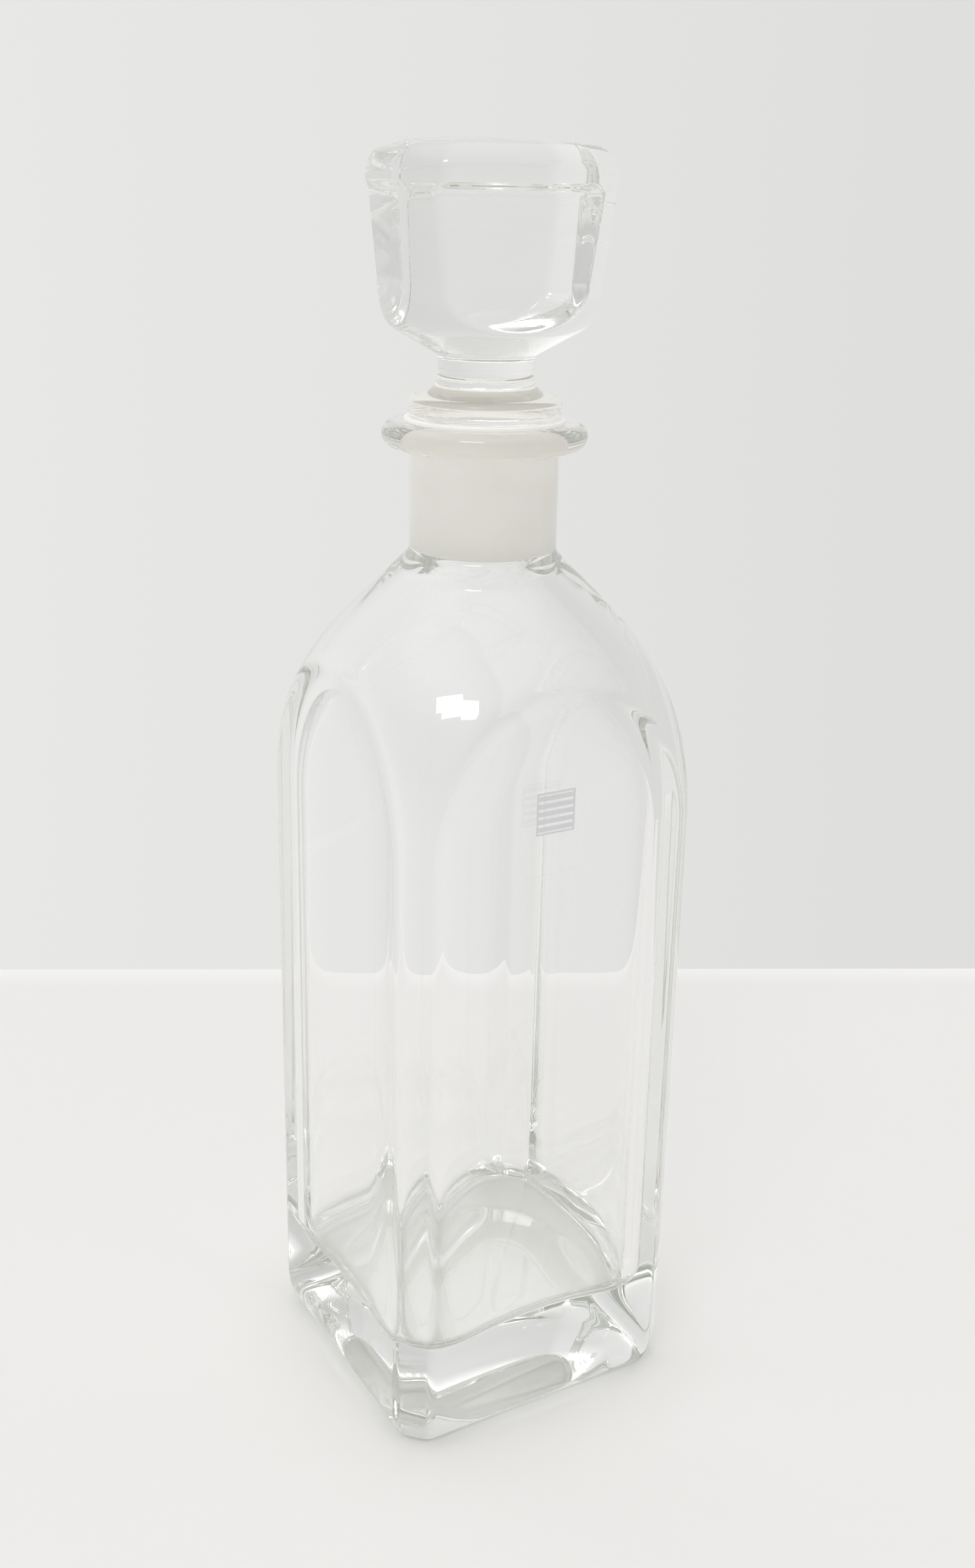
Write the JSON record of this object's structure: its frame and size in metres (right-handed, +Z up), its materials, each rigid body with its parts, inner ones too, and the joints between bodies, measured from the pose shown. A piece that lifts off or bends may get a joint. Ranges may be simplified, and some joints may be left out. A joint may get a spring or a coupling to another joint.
{
  "type": "decanter",
  "caption": "Square glass decanter with arched flat panels, domed shoulder, beaded lip, square glass stopper in a soft sleeve and a small film label.",
  "frame": {"origin": "middle of the underside, on the surface that the decanter stands on", "axes": "+Z up along the bottle's axis, -Y out of the panel that carries the label, +X to its right"},
  "size_m": [0.076, 0.0762, 0.2945],
  "materials": {
    "bottle_glass": "polished clear soda-lime glass",
    "stopper_glass": "polished clear soda-lime glass",
    "seal_plastic": "milky natural polyethylene",
    "label_film": "clear self-adhesive film",
    "label_print": "silver-grey printing ink"
  },
  "bodies": {
    "bottle": {"bottle": "bottle_glass", "label_film": "label_film", "label_print": "label_print"},
    "seal": {"stopper_seal": "seal_plastic"},
    "stopper": {"stopper": "stopper_glass"}
  },
  "joints": [
    {"name": "stopper_lift", "type": "slide", "parent": "bottle", "child": "seal", "axis": [0, 0, 1], "range_m": [0, 0.06]},
    {"name": "stopper_turn", "type": "hinge", "parent": "seal", "child": "stopper", "pos_m": [0, 0, 0.237], "axis": [0, 0, 1], "continuous": true}
  ]
}
